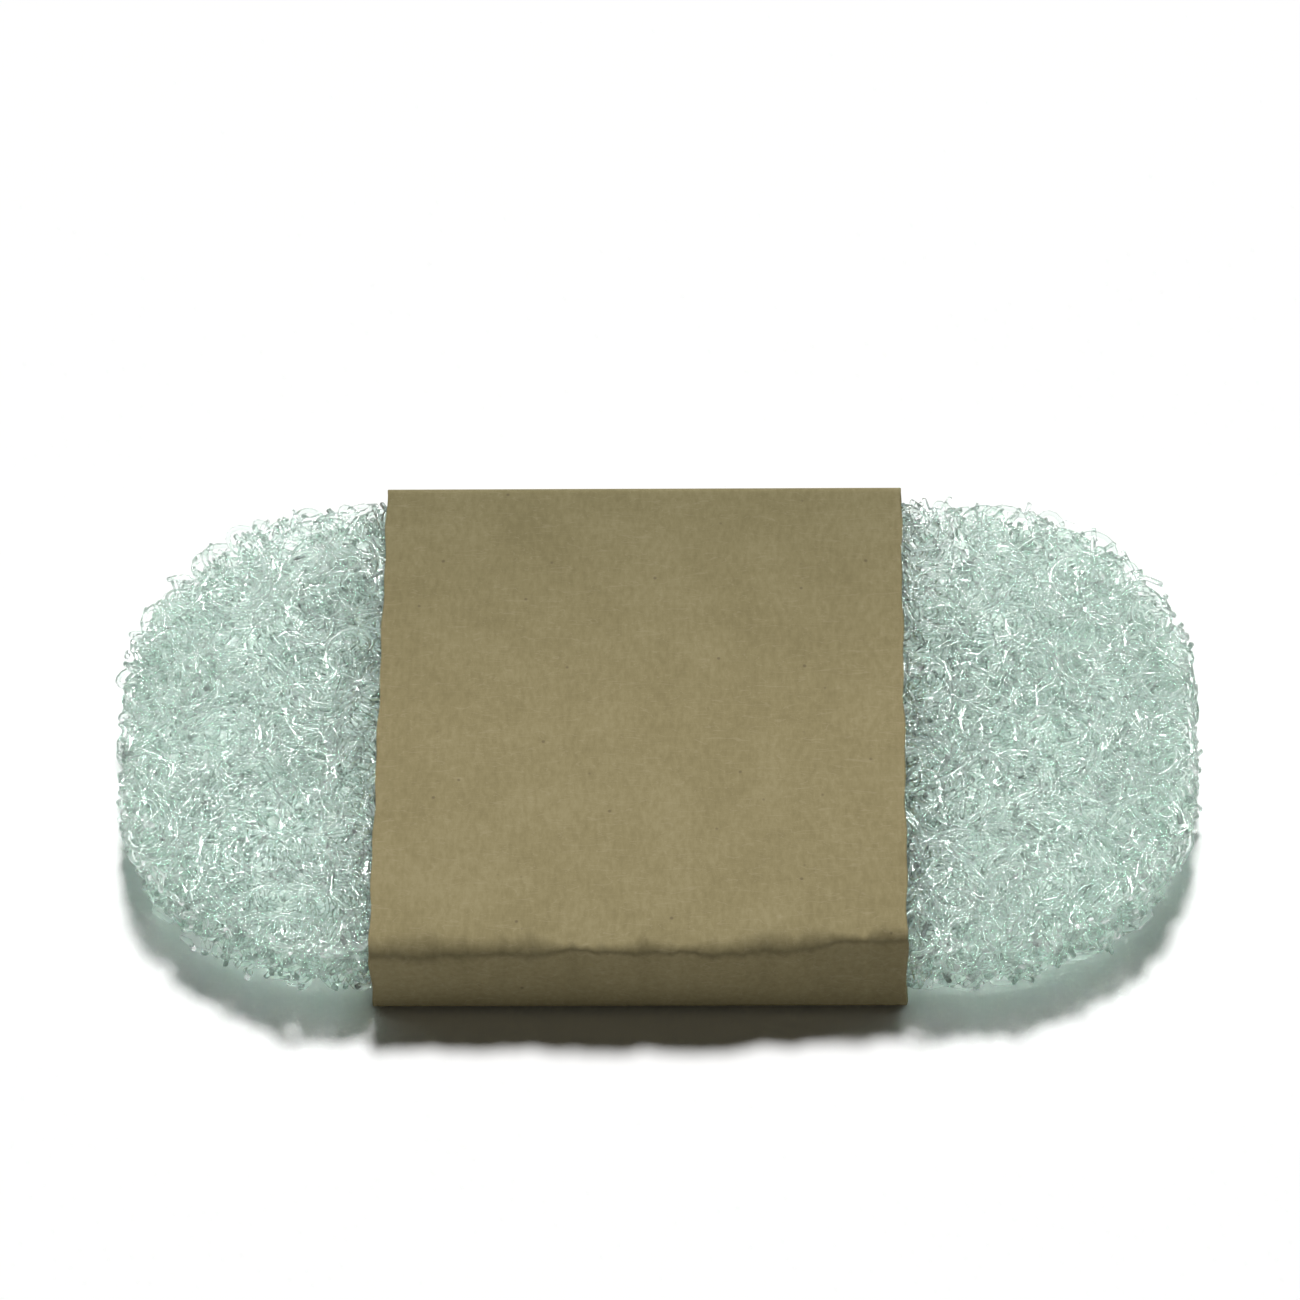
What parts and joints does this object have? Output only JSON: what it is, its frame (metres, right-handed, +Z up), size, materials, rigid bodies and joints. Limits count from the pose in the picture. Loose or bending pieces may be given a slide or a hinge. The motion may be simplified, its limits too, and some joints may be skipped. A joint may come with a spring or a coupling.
{
  "type": "soap saver",
  "caption": "Oblong mat of looped translucent plastic filament with round ends, held in a sliding kraft paper band.",
  "frame": {"origin": "middle of the whole object's box in X and Y, on the underside of the paper band, which rests on the table", "axes": "+X along the pad, to the right in the picture; +Y across it, to its back; +Z up, out of the band's top panel"},
  "size_m": [0.1208, 0.0646, 0.0114],
  "materials": {
    "filament": "translucent, glossy",
    "kraft_paper": "uncoated kraft",
    "glue": "dried hot glue"
  },
  "bodies": {
    "pad": {"rim_bottom": "filament", "inner_ring_bottom": "filament", "row_bottom_1": "filament", "row_bottom_2": "filament", "column_middle_1": "filament", "column_middle_2": "filament", "column_middle_3": "filament", "column_middle_4": "filament", "column_middle_5": "filament", "column_middle_6": "filament", "column_middle_7": "filament", "column_middle_8": "filament", "column_middle_9": "filament", "column_middle_10": "filament", "column_middle_11": "filament", "rim_top": "filament", "inner_ring_top": "filament", "row_top_1": "filament", "row_top_2": "filament"},
    "band": {"paper_wrap": "kraft_paper", "glue_strip": "glue"}
  },
  "joints": [
    {"name": "band_slide", "type": "slide", "parent": "pad", "child": "band", "axis": [1, 0, 0], "range_m": [-0.089, 0.0925]}
  ]
}
